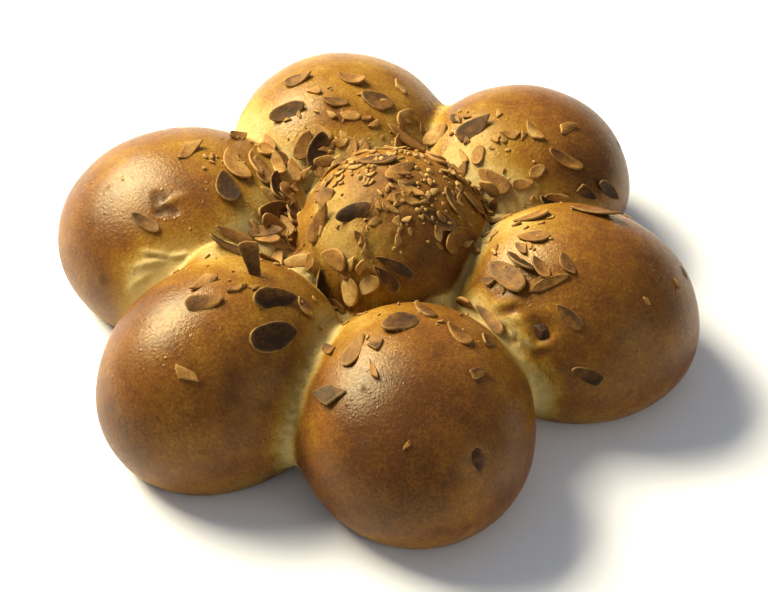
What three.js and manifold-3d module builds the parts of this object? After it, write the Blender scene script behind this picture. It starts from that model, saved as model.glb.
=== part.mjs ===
// A three kings cake: one ball of sweet yeast dough in the middle and six round it, risen and baked
// into a single loaf, with flaked almonds strewn over the middle and the slopes that face it.
// Millimetres, +Z up. The origin is on the table under the middle of the loaf's footprint.
import * as THREE from "three";
import { mergeVertices } from "three/addons/utils/BufferGeometryUtils.js";
import Module from "manifold-3d";

const { degToRad, lerp, smoothstep } = THREE.MathUtils;

// The six ring balls are set round this upright axis, a little right of the middle of the footprint.
const HUB_X = 7.5;
const HUB_Y = 1.5;

// Bearings run anticlockwise from +X seen from above. Reach is from the hub to the ball's own middle,
// width is across the bearing, depth is along it, and belly is the level where the ball is widest.
const DOUGH_BALLS = [
  { name: "middle", bearing: 35, reach: 3.5, width: 79, depth: 79, height: 73.5, belly: 36 },
  { name: "front", bearing: -84, reach: 87, width: 91, depth: 103, height: 61.5, belly: 21 },
  { name: "right", bearing: -20.8, reach: 79, width: 96, depth: 102, height: 65.3, belly: 18 },
  { name: "backRight", bearing: 44, reach: 83.5, width: 96, depth: 94, height: 62.5, belly: 24 },
  { name: "back", bearing: 102.5, reach: 85.5, width: 99, depth: 105, height: 61.5, belly: 25 },
  { name: "left", bearing: 163.5, reach: 88.5, width: 105, depth: 110, height: 64, belly: 23 },
  { name: "frontLeft", bearing: 224.2, reach: 89.2, width: 87, depth: 103.5, height: 68.5, belly: 24 },
];

// Below its belly a ball tucks in slowly, as if it reached this many bellies down, and the table cuts it off.
const TUCK = 1.8;
// The skin rounds off between two balls over about this length, tightly by the hub and wider outside.
const CREASE_ROUND = 1.5;
const WEB_ROUND = 4;
const WEB_START = 60;
const WEB_END = 110;
const BALL_RADIUS = 45;
// Low dough fills the gaps between the balls out to this reach from the hub, so the underside is one flat face.
const FILL_REACH = 68;
const FILL_HEIGHT = 36;
// In places the dough between two balls rose higher, as a dome with this middle, radius and height.
const SWELLS = [
  { bearing: 172, reach: 36, radius: 24, height: 46 },
  { bearing: 205, reach: 38, radius: 22, height: 44 },
  { bearing: 128, reach: 38, radius: 20, height: 42 },
  { bearing: -58, reach: 40, radius: 16, height: 42 },
  { bearing: 10, reach: 46, radius: 18, height: 42 },
  { bearing: 70, reach: 40, radius: 18, height: 40 },
  { bearing: 203.5, reach: 71, radius: 24, height: 61 },
  { bearing: 189, reach: 47, radius: 16, height: 47 },
];

// How finely the skin is faceted.
const STEPS_PER_BALL = 20;
const NOTCH_CROWDING = 0.6;
const STEPS_TO_VALLEY = 6;
const STEPS_TO_SPINE = 5;
const STEPS_DOWN_SIDE = 11;
// The spine is the line inside the loaf that the rays down its side start from.
const SPINE_SHARE = 0.72;
const SPINE_LEVEL = 18;
const VALLEY_NEAR = 26;
const VALLEY_FAR = 58;

// Almond flakes, listed for the ball each lies on: bearing and reach from that ball's middle, length,
// width, the bearing of the long axis, and how far the flake is tipped up about that axis.
const FLAKE_THICKNESS = 1.3;
const FLAKE_SINK = 0.8;
const FLAKE_CURL = 0.7;
const FLAKES = {
  middle: [
    [130, 9, 16, 8, 175, 5],
    [-15, 3, 15, 7, 40, 10],
    [15, 27, 10, 5, 150, 10],
    [-25, 25, 13, 4, 115, 15],
    [-5, 32, 12, 6, 160, 10],
    [-50, 26, 16, 7, 170, 10],
    [-40, 34, 20, 10, 40, 5],
    [-130, 23, 16, 7, 0, 20],
    [-155, 32, 18, 7, 35, 20],
    [-170, 27, 10, 8, 0, 15],
    [-130, 36, 13, 8, 140, 0],
    [-90, 35, 17, 5, 165, 15],
    [-95, 37, 14, 6, 155, 15],
    [-115, 39, 8, 12, -20, -25],
    [-105, 38, 10, 7, 0, -25],
    [-135, 40, 18, 6, 105, 50],
    [-60, 13, 12, 5, 150, 0],
    [165, 43, 16, 8, 85, 15],
    [180, 44, 12, 8, 105, 0],
    [55, 30, 15, 7, 120, 10],
    [85, 32, 14, 7, 20, 10],
    [115, 29, 16, 8, 70, 10],
    [140, 33, 13, 6, 150, 10],
  ],
  front: [
    [110, 15, 15, 10, 30, 10],
    [170, 22, 16, 7, 65, 10],
    [-160, 33, 15, 8, 130, 15],
    [80, 25, 14, 6, 120, 10],
    [65, 47, 17, 6, 110, 40],
    [30, 19, 12, 7, 135, 0],
  ],
  right: [
    [-155, 31, 22, 9, 125, 10],
    [-155, 25, 16, 6, 125, 55],
    [-135, 22, 12, 5, 115, 25],
    [-120, 25, 15, 4, 10, 20],
    [-110, 17, 11, 5, 110, 15],
    [180, 17, 13, 7, 160, 10],
    [140, 22, 15, 8, 170, 10],
    [60, 16, 20, 7, 165, 20],
    [-145, 42, 18, 5, 125, 20],
  ],
  backRight: [
    [180, 37, 13, 8, 20, 25],
    [-160, 23, 17, 9, 20, 20],
    [-115, 36, 17, 8, 140, 0],
    [-60, 30, 16, 6, 165, 10],
    [-80, 15, 11, 5, 120, 10],
    [-30, 20, 10, 5, 40, 10],
    [-75, 41, 11, 5, 10, 10],
    [-55, 42, 10, 5, 0, 20],
    [-40, 44, 16, 5, 15, 15],
  ],
  back: [
    [170, 19, 13, 8, 15, 0],
    [-5, 4, 14, 7, 150, 0],
    [-40, 20, 15, 10, 160, 0],
    [-100, 16, 12, 6, 160, 15],
    [-145, 28, 17, 8, 5, 20],
    [-35, 33, 12, 7, 60, 20],
    [-45, 39, 20, 8, 165, 25],
    [-105, 31, 11, 5, 135, 0],
    [-105, 38, 17, 9, 65, 15],
    [-115, 37, 14, 8, 65, 20],
  ],
  left: [
    [50, 7, 13, 10, 20, 10],
    [-35, 25, 17, 10, 105, 5],
    [0, 23, 20, 10, 115, 5],
    [10, 31, 20, 6, 100, 15],
    [-5, 40, 17, 8, 95, 10],
    [-25, 43, 17, 9, 45, 10],
    [-55, 41, 16, 5, 175, 20],
    [-110, 33, 14, 5, 145, 15],
  ],
  frontLeft: [
    [-115, 7, 14, 7, 10, 15],
    [130, 7, 12, 6, 35, 10],
    [50, 18, 10, 15, 5, 60],
    [85, 36, 18, 7, 175, 10],
    [0, 22, 20, 9, 30, 20],
    [-35, 27, 20, 11, 35, 5],
    [-105, 33, 10, 6, 130, 15],
    [5, 33, 10, 6, 125, 0],
  ],
};

// A ball or swell with its middle worked out in the part's frame.
function placed(lump) {
  const angle = degToRad(lump.bearing);
  return {
    ...lump,
    cos: Math.cos(angle),
    sin: Math.sin(angle),
    x: HUB_X + lump.reach * Math.cos(angle),
    y: HUB_Y + lump.reach * Math.sin(angle),
  };
}

const balls = DOUGH_BALLS.map(placed);
const swells = SWELLS.map(placed);

// Roughly how far a point is outside one ball, negative inside it.
function outsideBall(ball, x, y, z) {
  const along = (x - ball.x) * ball.cos + (y - ball.y) * ball.sin;
  const across = (y - ball.y) * ball.cos - (x - ball.x) * ball.sin;
  const above = z - ball.belly;
  const rise = above > 0 ? ball.height - ball.belly : TUCK * ball.belly;
  const share = Math.hypot(along / (ball.depth / 2), across / (ball.width / 2), above / rise);
  return (share - 1) * BALL_RADIUS;
}

// The same for a swell.
function outsideSwell(swell, x, y, z) {
  const away = Math.hypot(x - swell.x, y - swell.y);
  return (Math.hypot(away / swell.radius, z / swell.height) - 1) * BALL_RADIUS;
}

// The same for the whole loaf, whose balls run into one another over rounded creases.
function outsideLoaf(x, y, z) {
  const out = Math.hypot(x - HUB_X, y - HUB_Y);
  const round = lerp(CREASE_ROUND, WEB_ROUND, smoothstep(out, WEB_START, WEB_END));
  const fill = (Math.hypot(out / FILL_REACH, z / FILL_HEIGHT) - 1) * BALL_RADIUS;
  let sum = Math.exp(-fill / round);
  for (const ball of balls) {
    sum += Math.exp(-outsideBall(ball, x, y, z) / round);
  }
  for (const swell of swells) {
    sum += Math.exp(-outsideSwell(swell, x, y, z) / round);
  }
  return -round * Math.log(sum);
}

// Where a ray that starts inside the loaf comes out of it.
function leaveLoaf(start, direction, longest = 150) {
  const point = new THREE.Vector3();
  const outsideAt = (length) => {
    point.copy(direction).multiplyScalar(length).add(start);
    return outsideLoaf(point.x, point.y, point.z);
  };
  let inside = 0;
  let outside = 2;
  while (outside < longest && outsideAt(outside) < 0) {
    inside = outside;
    outside += 2;
  }
  for (let i = 0; i < 24; i++) {
    const middle = (inside + outside) / 2;
    if (outsideAt(middle) < 0) {
      inside = middle;
    } else {
      outside = middle;
    }
  }
  outsideAt(inside);
  return point.clone();
}

const UP = new THREE.Vector3(0, 0, 1);

// The top of the loaf above a point of its plan.
function topAt(x, y) {
  return leaveLoaf(new THREE.Vector3(x, y, SPINE_LEVEL), UP);
}

// The outward direction of the skin at a point of it.
function normalAt(point) {
  const step = 0.5;
  const slope = (dx, dy, dz) =>
    outsideLoaf(point.x + dx, point.y + dy, point.z + dz) -
    outsideLoaf(point.x - dx, point.y - dy, point.z - dz);
  return new THREE.Vector3(slope(step, 0, 0), slope(0, step, 0), slope(0, 0, step)).normalize();
}

// The bearings of the facets: dense at the notch between two ring balls, wide over a ball's middle.
function facetBearings() {
  const ring = balls.slice(1);
  const notches = ring.map((ball, i) => {
    const next = ring[(i + 1) % ring.length];
    const turn = i === ring.length - 1 ? 360 : 0;
    return (ball.bearing + next.bearing + turn) / 2;
  });
  const bearings = [];
  notches.forEach((from, i) => {
    const turn = i === notches.length - 1 ? 360 : 0;
    const to = notches[(i + 1) % notches.length] + turn;
    for (let step = 0; step < STEPS_PER_BALL; step++) {
      const even = step / STEPS_PER_BALL;
      const crowded = (1 - Math.cos(Math.PI * even)) / 2;
      bearings.push(degToRad(lerp(from, to, lerp(even, crowded, NOTCH_CROWDING))));
    }
  });
  return bearings;
}

// The upright section of the skin on one bearing, from near the crown down to the table.
function skinSection(bearing) {
  const outward = new THREE.Vector3(Math.cos(bearing), Math.sin(bearing), 0);
  const axis = (level) => new THREE.Vector3(HUB_X, HUB_Y, level);
  const atReach = (reach, level) => axis(level).addScaledVector(outward, reach);
  const topAtReach = (reach) => leaveLoaf(atReach(reach, SPINE_LEVEL), UP);
  const rim = leaveLoaf(axis(SPINE_LEVEL), outward).sub(axis(SPINE_LEVEL)).length();
  const foot = leaveLoaf(axis(0), outward).sub(axis(0)).length();
  const spine = rim * SPINE_SHARE;
  let valley = VALLEY_NEAR;
  for (let reach = VALLEY_NEAR; reach <= Math.min(VALLEY_FAR, spine - 4); reach++) {
    if (topAtReach(reach).z < topAtReach(valley).z) {
      valley = reach;
    }
  }
  const section = [];
  for (let step = 1; step <= STEPS_TO_VALLEY; step++) {
    section.push(topAtReach(valley * Math.sin((Math.PI / 2) * (step / STEPS_TO_VALLEY))));
  }
  for (let step = 1; step < STEPS_TO_SPINE; step++) {
    section.push(topAtReach(lerp(valley, spine, step / STEPS_TO_SPINE)));
  }
  const lowest = Math.atan2(-SPINE_LEVEL, foot - spine);
  for (let step = 0; step < STEPS_DOWN_SIDE; step++) {
    const pitch = lerp(Math.PI / 2, lowest, step / STEPS_DOWN_SIDE);
    const direction = outward.clone().multiplyScalar(Math.cos(pitch)).addScaledVector(UP, Math.sin(pitch));
    section.push(leaveLoaf(atReach(spine, SPINE_LEVEL), direction));
  }
  section.push(atReach(foot, 0));
  return section;
}

// The loaf without its almonds: a skin of four-sided facets, a crown point and a flat underside.
function loafGeometry() {
  const sections = facetBearings().map(skinSection);
  const rows = sections[0].length;
  const points = [topAt(HUB_X, HUB_Y), new THREE.Vector3(HUB_X, HUB_Y, 0), ...sections.flat()];
  const corner = (section, row) => 2 + (section % sections.length) * rows + row;
  const faces = [];
  sections.forEach((_, i) => {
    faces.push(0, corner(i, 0), corner(i + 1, 0));
    for (let row = 0; row + 1 < rows; row++) {
      faces.push(corner(i, row), corner(i, row + 1), corner(i + 1, row + 1));
      faces.push(corner(i, row), corner(i + 1, row + 1), corner(i + 1, row));
    }
    faces.push(1, corner(i + 1, rows - 1), corner(i, rows - 1));
  });
  return new THREE.BufferGeometry().setFromPoints(points).setIndex(faces);
}

// One almond flake lying in the plane z = 0, rounder at one end than at the other, its ends curled up.
function flakeGeometry(length, width) {
  const outline = new THREE.Shape();
  const bulge = width * 0.667;
  outline.moveTo(-length / 2, 0);
  outline.bezierCurveTo(-length / 2, bulge, length * 0.3, bulge, length / 2, 0);
  outline.bezierCurveTo(length * 0.3, -bulge, -length / 2, -bulge, -length / 2, 0);
  const flake = new THREE.ExtrudeGeometry(outline, {
    depth: FLAKE_THICKNESS,
    bevelEnabled: false,
    curveSegments: 4,
  });
  const position = flake.getAttribute("position");
  for (let i = 0; i < position.count; i++) {
    const curl = FLAKE_CURL * (position.getX(i) / (length / 2)) ** 2;
    position.setZ(i, position.getZ(i) + curl);
  }
  return flake;
}

// A flake set down on its ball, so that its lowest spot has sunk into the crust.
function placedFlake(ball, [bearing, reach, length, width, turn, tip]) {
  const angle = degToRad(bearing);
  const seat = topAt(ball.x + reach * Math.cos(angle), ball.y + reach * Math.sin(angle));
  const normal = normalAt(seat);
  const heading = new THREE.Vector3(Math.cos(degToRad(turn)), Math.sin(degToRad(turn)), 0);
  heading.setZ(-heading.dot(normal) / normal.z).normalize();
  const side = new THREE.Vector3().crossVectors(normal, heading);
  const flake = flakeGeometry(length, width);
  flake.rotateX(degToRad(tip));
  flake.applyMatrix4(new THREE.Matrix4().makeBasis(heading, side, normal).setPosition(seat));
  const position = flake.getAttribute("position");
  let lowest = 0;
  for (let i = 0; i < position.count; i++) {
    lowest = Math.min(lowest, outsideLoaf(position.getX(i), position.getY(i), position.getZ(i)));
  }
  const lift = normal.clone().multiplyScalar(-lowest - FLAKE_SINK);
  flake.translate(lift.x, lift.y, lift.z);
  return flake;
}

const wasm = await Module();
wasm.setup();

// A closed surface as a solid that can be joined to others.
function solidOf(geometry) {
  geometry.deleteAttribute("normal");
  geometry.deleteAttribute("uv");
  const merged = mergeVertices(geometry, 1e-4);
  return new wasm.Manifold(
    new wasm.Mesh({
      numProp: 3,
      vertProperties: new Float32Array(merged.getAttribute("position").array),
      triVerts: new Uint32Array(merged.index.array),
    }),
  );
}

// Join the flakes to the loaf and keep the outer body, so a pocket shut in under a flake is solid.
let joined = solidOf(loafGeometry());
for (const ball of balls) {
  for (const flake of FLAKES[ball.name]) {
    joined = joined.add(solidOf(placedFlake(ball, flake)));
  }
}
const bodies = joined.decompose().sort((a, b) => b.volume() - a.volume());
const cakeMesh = bodies[0].getMesh();

const cakeGeometry = new THREE.BufferGeometry();
cakeGeometry.setAttribute("position", new THREE.BufferAttribute(cakeMesh.vertProperties, 3));
cakeGeometry.setIndex(new THREE.BufferAttribute(cakeMesh.triVerts, 1));
cakeGeometry.computeVertexNormals();

const crust = new THREE.MeshStandardMaterial({ color: 0xb0793a, roughness: 0.5, metalness: 0 });
const cake = new THREE.Mesh(cakeGeometry, crust);
cake.name = "cake";

const part = new THREE.Group();
part.add(cake);

export default part;
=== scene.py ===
"""A three kings cake: seven balls of sweet dough baked into one loaf, with flaked almonds and raisins.

Sizes are in millimetres until a mesh is made, and bearings run anticlockwise from +X seen from above.
"""

import math

import bpy
import numpy as np
from mathutils import Matrix, Vector


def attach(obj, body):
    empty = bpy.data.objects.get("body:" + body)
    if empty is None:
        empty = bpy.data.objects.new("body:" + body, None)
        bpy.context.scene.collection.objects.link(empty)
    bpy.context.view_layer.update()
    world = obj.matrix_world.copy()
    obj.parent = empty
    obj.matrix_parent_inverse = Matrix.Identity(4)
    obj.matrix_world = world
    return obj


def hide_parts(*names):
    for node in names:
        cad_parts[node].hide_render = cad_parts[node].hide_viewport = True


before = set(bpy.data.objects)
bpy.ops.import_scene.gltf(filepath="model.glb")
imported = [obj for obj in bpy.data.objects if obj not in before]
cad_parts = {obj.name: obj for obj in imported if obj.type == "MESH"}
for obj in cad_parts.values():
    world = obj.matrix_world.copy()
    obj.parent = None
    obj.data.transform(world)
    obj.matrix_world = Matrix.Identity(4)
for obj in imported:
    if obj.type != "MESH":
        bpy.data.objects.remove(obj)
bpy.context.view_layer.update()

MM = 0.001
SEED = 6

# Ball middles are set round the hub, as in the solid model. Each ball has a bearing, reach, width,
# depth, height, belly (the level where it is broadest) and extra browning.
HUB = np.array([7.5, 1.5])
BALLS = {
    "middle": (35, 3.5, 79, 79, 73.5, 36, -0.1),
    "front": (-84, 87, 91, 103, 61.5, 21, 0.08),
    "right": (-20.8, 79, 96, 102, 65.3, 18, 0.06),
    "backRight": (44, 83.5, 96, 94, 62.5, 24, 0.04),
    "back": (102.5, 85.5, 99, 105, 61.5, 25, -0.09),
    "left": (163.5, 88.5, 105, 110, 64, 23, 0.0),
    "frontLeft": (224.2, 89.2, 87, 103.5, 68.5, 24, 0.04),
}

# How far pale dough spreads from the crease with another ball, and how strongly it is wrinkled there:
# ball, other ball, spread, wrinkle height, wrinkle reach, wrinkle width. Pairs left out are plain.
# The spreads also paint light and shade: wider on some slopes that face the light, narrower where a crease
# lies in shade.
PLAIN_CREASE = (7, 0.25, 6, 4.5)
CREASES = (
    ("middle", "front", 3, 0.1, 4, 4), ("middle", "right", 3, 0.1, 4, 4),
    ("middle", "backRight", 4, 0.2, 4, 4), ("middle", "back", 4, 0.2, 4, 4),
    ("middle", "left", 4, 0.2, 4, 4), ("middle", "frontLeft", 3, 0.1, 4, 4),
    ("front", "middle", 22, 0.15, 5, 5), ("front", "right", 10, 0.3, 6, 5),
    ("front", "frontLeft", 8, 0.25, 7, 4), ("right", "middle", 13, 0.2, 6, 5),
    ("right", "front", 15, 0.3, 13, 6.5), ("right", "backRight", 6, 0.2, 6, 5),
    ("backRight", "middle", 26, 0.3, 7, 5), ("backRight", "back", 13, 0.4, 8, 5),
    ("backRight", "right", 15, 0.4, 8, 5), ("back", "middle", 24, 0.3, 7, 5),
    ("back", "left", 24, 0.5, 9, 5), ("left", "frontLeft", 32, 0.5, 11, 6),
    ("left", "middle", 15, 0.4, 8, 5), ("left", "back", 13, 0.3, 6, 5),
    ("frontLeft", "front", 14, 0.35, 9, 4), ("frontLeft", "middle", 28, 0.15, 5, 5),
    ("frontLeft", "left", 22, 0.2, 6, 5),
)
# Wrinkles run round the hub by the middle ball, and elsewhere round a ring inside the loaf.
WRINKLE_RADIUS_AT_HUB = 40
WRINKLE_RADIUS_AT_RING = 35
RING_REACH = 68
RING_LEVEL = 8
# Below its belly a ball would reach this many times as deep as the table, which cuts it off.
TUCK = 1.8
# How round the creases are near the hub and out at the rim, and the reaches between which that changes.
CREASE_ROUND = 1.2
WEB_ROUND = 4
WEB_START = 60
WEB_END = 110
# A usual radius, which turns shares of a ball's size into millimetres.
BALL_RADIUS = 45
# Dough that rose between the balls: bearing, reach, radius, height.
SWELLS = (
    (172, 36, 24, 46), (205, 38, 22, 44), (128, 38, 20, 42), (-58, 40, 16, 42), (10, 46, 18, 42),
    (70, 40, 18, 40), (203.5, 71, 24, 61), (189, 47, 16, 47),
)
# A low dome of dough that fills the middle under the creases.
FILL_REACH = 68
FILL_HEIGHT = 36

# The skin is where rays from a level disc inside the loaf come out: the disc's share of the way to the
# rim, and its level.
SPINE_SHARE = 0.72
SPINE_LEVEL = 18
# Rays go outwards in strides until they have left the loaf, and then the last stride is halved repeatedly.
RAY_LENGTH = 150.0
RAY_STRIDE = 4.0
RAY_HALVINGS = 16
# How finely the skin is drawn, and how much closer at the notches of the rim and in the creases.
COLUMNS_PER_BALL = 104
ROWS = 150
COARSE_ROWS = 72
NOTCH_CROWDING = 0.6
CREASE_CROWDING = 1.8
CREASE_WIDTH = 6
UNDERSIDE_RINGS = (0.97, 0.85, 0.6, 0.3)

# Browning from 0, pale dough, to 1, dark brown: of a ball, more on its outer slope, less by the table.
BALL_BROWN = 0.61
OUTER_BROWN = 0.1
TABLE_PALENESS = 0.26

# Almond flakes by ball: bearing, reach, length, width, turn of the long axis, tip about it,
# toast from 0 pale to 1 burnt, share broken off.
# Some toasts also paint light and shade: darker on flakes lying in shade, paler on flakes that catch the
# light.
FLAKE_THICKNESS = 1.1
FLAKE_SINK = 0.3
FLAKE_PITCH = 8
FLAKES = {
    "middle": [
        (130, 9, 16, 8, 175, 5, 0.75, 0), (-15, 3, 15, 7, 40, 10, 0.45, 0),
        (15, 27, 10, 5, 150, 10, 0.6, 0.2), (-25, 25, 13, 4, 115, 15, 0.6, 0),
        (-5, 32, 12, 6, 160, 10, 0.45, 0), (-50, 26, 16, 7, 170, 10, 0.85, 0),
        (-40, 34, 20, 10, 40, 5, 0.5, 0), (-130, 23, 16, 7, 0, 20, 0.85, 0),
        (-155, 32, 18, 7, 35, 20, 0.5, 0), (-170, 27, 10, 8, 0, 15, 0.55, 0.2),
        (-130, 36, 13, 8, 140, 0, 0.4, 0), (-90, 35, 17, 5, 165, 15, 0.8, 0),
        (-95, 37, 14, 6, 155, 15, 0.75, 0), (-115, 39, 8, 12, -20, -25, 0.12, 0),
        (-105, 38, 10, 7, 0, -25, 0.12, 0), (-135, 40, 18, 6, 105, 50, 0.9, 0),
        (-60, 13, 12, 5, 150, 0, 0.3, 0.2), (165, 43, 16, 8, 85, 15, 0.7, 0),
        (180, 44, 12, 8, 105, 0, 0.2, 0), (55, 30, 15, 7, 120, 10, 0.4, 0),
        (85, 32, 14, 7, 20, 10, 0.6, 0), (115, 29, 16, 8, 70, 10, 0.3, 0),
        (140, 33, 13, 6, 150, 10, 0.5, 0), (-75, 15, 9, 5, 25, 10, 0.35, 0.3),
        (-60, 9, 9, 4, 175, 20, 0.7, 0.3), (-115, 30, 9, 4, 125, 0, 0.5, 0.2),
        (-170, 43, 10, 4, 115, 10, 0.6, 0), (40, 23, 10, 4, 130, 0, 0.3, 0),
        (-125, 40, 9, 4, 135, 0, 0.45, 0), (-35, 3, 10, 4, 145, 15, 0.6, 0.2),
        (-85, 15, 7, 4, 175, 0, 0.2, 0.3), (-66, 17, 8, 4, 150, 10, 0.3, 0.3),
    ],
    "front": [
        (110, 15, 15, 10, 30, 10, 0.8, 0), (170, 22, 16, 7, 65, 10, 0.45, 0),
        (-160, 33, 15, 8, 130, 15, 0.9, 0.35), (80, 25, 14, 6, 120, 10, 0.65, 0),
        (65, 47, 17, 6, 110, 40, 0.6, 0), (30, 19, 12, 7, 135, 0, 0.5, 0),
        (25, 30, 9, 6, 100, 10, 0.6, 0.3), (-20, 24, 8, 4, 40, 0, 0.5, 0.2),
        (160, 33, 9, 4, 120, 0, 0.6, 0.3), (165, 14, 6, 5, 55, 0, 0.5, 0.4),
        (-150, 17, 10, 2.5, 100, 0, 0.4, 0.3), (-95, 37, 4, 2, 45, 0, 0.3, 0.4),
    ],
    "right": [
        (-155, 31, 22, 9, 125, 10, 0.62, 0), (-155, 25, 16, 6, 125, 55, 0.95, 0),
        (-135, 22, 12, 5, 115, 25, 0.6, 0), (-120, 25, 15, 4, 10, 20, 0.45, 0),
        (-110, 17, 11, 5, 110, 15, 0.7, 0.2), (180, 17, 13, 7, 160, 10, 0.5, 0),
        (140, 22, 15, 8, 170, 10, 0.45, 0), (60, 16, 20, 7, 165, 20, 0.55, 0),
        (-145, 42, 18, 5, 125, 20, 0.5, 0), (-130, 27, 9, 4, 20, 0, 0.5, 0.2),
        (-160, 36, 8, 4, 145, 20, 0.8, 0.3), (-170, 22, 9, 4, 115, 0, 0.55, 0.3),
    ],
    "backRight": [
        (180, 37, 13, 8, 20, 25, 0.2, 0), (-160, 23, 17, 9, 20, 20, 0.75, 0),
        (-115, 36, 17, 8, 140, 0, 0.5, 0), (-60, 30, 16, 6, 165, 10, 0.6, 0),
        (-80, 15, 11, 5, 120, 10, 0.3, 0.2), (-30, 20, 10, 5, 40, 10, 0.4, 0.3),
        (-75, 41, 11, 5, 10, 10, 0.4, 0), (-55, 42, 10, 5, 0, 20, 0.85, 0.2),
        (-40, 44, 16, 5, 15, 15, 0.85, 0), (175, 29, 8, 4, 110, 0, 0.95, 0.2),
        (-115, 17, 8, 5, 165, 0, 0.35, 0.2), (-135, 30, 9, 6, 70, 0, 0.3, 0),
        (-85, 32, 8, 5, 35, 0, 0.3, 0), (-95, 36, 9, 5, 0, 0, 0.25, 0),
        (-80, 42, 10, 4, 155, 20, 0.8, 0), (-125, 40, 7, 5, 175, 20, 0.95, 0.3),
        (-145, 33, 8, 3, 110, 0, 0.2, 0.2),
    ],
    "back": [
        (170, 19, 13, 8, 15, 0, 0.6, 0), (-5, 4, 14, 7, 150, 0, 0.5, 0),
        (-40, 20, 15, 10, 160, 0, 0.68, 0), (-100, 16, 12, 6, 160, 15, 0.7, 0.2),
        (-145, 28, 17, 8, 5, 20, 0.8, 0), (-35, 33, 12, 7, 60, 20, 0.25, 0),
        (-45, 39, 20, 8, 165, 25, 0.35, 0), (-105, 31, 11, 5, 135, 0, 0.35, 0),
        (-105, 38, 17, 9, 65, 15, 0.95, 0), (-115, 37, 14, 8, 65, 20, 0.4, 0),
        (-80, 23, 9, 5, 0, 0, 0.3, 0.2), (0, 26, 9, 5, 105, 10, 0.2, 0.3),
        (-145, 14, 6, 5, 15, 0, 0.3, 0.4), (-65, 26, 5, 3, 50, 0, 0.3, 0.4),
        (-90, 35, 7, 4, 15, 0, 0.25, 0.3),
    ],
    "left": [
        (50, 7, 13, 10, 20, 10, 0.4, 0.4), (-35, 25, 17, 10, 105, 5, 0.9, 0),
        (0, 23, 20, 10, 115, 5, 0.3, 0), (10, 31, 20, 6, 100, 15, 0.3, 0),
        (-5, 40, 17, 8, 95, 10, 0.75, 0), (-25, 43, 17, 9, 45, 10, 0.65, 0),
        (-55, 41, 16, 5, 175, 20, 0.6, 0), (-110, 33, 14, 5, 145, 15, 0.7, 0),
        (-40, 46, 16, 6, 0, 10, 0.55, 0), (5, 47, 10, 4, 80, 0, 0.2, 0.2),
        (28, 47, 9, 5, 110, 10, 0.65, 0.3), (-19, 49, 16, 5, 92, 50, 0.85, 0),
        (-32, 51, 9, 7, 95, 15, 0.15, 0.2), (40, 45, 16, 6, 100, -25, 0.3, 0),
        (51, 35, 14, 6, 63, 20, 0.4, 0), (20, 48, 15, 6, 100, -20, 0.25, 0),
        (33, 40, 16, 7, 95, -15, 0.3, 0), (17, 41, 17, 6, 105, -25, 0.25, 0),
        (-12, 46, 15, 7, 80, -15, 0.4, 0), (3, 34, 16, 7, 110, -10, 0.4, 0),
        (-32, 46, 16, 7, 0, 15, 0.35, 0), (-42, 49, 14, 6, 150, 15, 0.3, 0),
    ],
    "frontLeft": [
        (-115, 7, 14, 7, 10, 15, 0.6, 0), (130, 7, 12, 6, 35, 10, 0.4, 0.3),
        (0, 22, 20, 9, 30, 20, 0.8, 0), (50, 18, 10, 15, 5, 60, 0.68, 0.35),
        (85, 36, 18, 7, 175, 10, 0.7, 0), (-35, 27, 20, 11, 35, 5, 0.92, 0),
        (-105, 33, 10, 6, 130, 15, 0.35, 0.4), (5, 33, 10, 6, 125, 0, 0.45, 0.2),
        (10, 8, 7, 4, 60, 0, 0.5, 0.4),
    ],
}

# Flakes that sank deeper into the crust as it baked, with the same columns.
SUNKEN_SINK = 0.6
SUNKEN_FLAKES = {
    "right": [(-101, 34, 13, 6, 140, 0, 0.6, 0), (-89, 46, 13, 6, 170, 0, 0.8, 0.2)],
}

# Broken bits strewn by a seeded rule: ball, how many, middle bearing, spread, nearest and farthest reach,
# shortest and longest bit, steepest tip.
CHIP_SINK = 0.2
STREWN = (
    ("middle", 46, -30, 80, 6, 33, 2.5, 6.5, 30), ("middle", 30, 110, 70, 6, 30, 2.5, 7.0, 30),
    ("middle", 20, -130, 50, 8, 36, 2.0, 5.0, 20), ("middle", 36, 160, 55, 36, 56, 6.0, 13.0, 35),
    ("middle", 24, 60, 50, 34, 50, 5.0, 12.0, 35), ("middle", 12, 0, 40, 33, 44, 4.0, 9.0, 40),
    ("middle", 8, 230, 40, 33, 43, 4.0, 9.0, 40), ("front", 9, 100, 60, 10, 40, 1.6, 4.5, 20),
    ("right", 16, 165, 50, 10, 40, 1.6, 5.5, 25), ("right", 3, 10, 60, 15, 40, 2.5, 4.5, 15),
    ("backRight", 18, 225, 50, 8, 42, 1.8, 6.0, 25), ("back", 20, 275, 55, 5, 42, 1.8, 6.0, 25),
    ("left", 12, 0, 50, 8, 44, 1.6, 5.0, 25), ("frontLeft", 10, 60, 70, 5, 40, 1.6, 4.5, 20),
)

# Crumbs strewn the same way: ball, how many, middle bearing, spread, nearest and farthest reach,
# smallest and largest, palest and darkest toast.
NUGGET_ROWS = 6
NUGGET_AROUND = 9
NUGGETS = (
    ("middle", 34, -25, 40, 9, 27, 1.0, 2.6, 0.0, 0.12),
    ("middle", 44, 120, 75, 7, 17, 1.2, 2.8, 0.0, 0.22),
    ("middle", 22, -90, 80, 5, 36, 1.0, 2.0, 0.0, 0.2),
    ("front", 10, 80, 60, 5, 32, 0.9, 1.8, 0.05, 0.3),
    ("backRight", 10, 220, 60, 5, 32, 1.2, 2.6, 0.05, 0.3),
    ("right", 8, 150, 60, 8, 34, 1.0, 2.0, 0.05, 0.3),
    ("back", 10, 270, 50, 8, 38, 1.0, 2.0, 0.05, 0.3), ("left", 6, 0, 60, 10, 40, 1.0, 1.8, 0.05, 0.3),
    ("frontLeft", 8, 90, 60, 5, 30, 0.9, 1.8, 0.05, 0.3),
)

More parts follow.
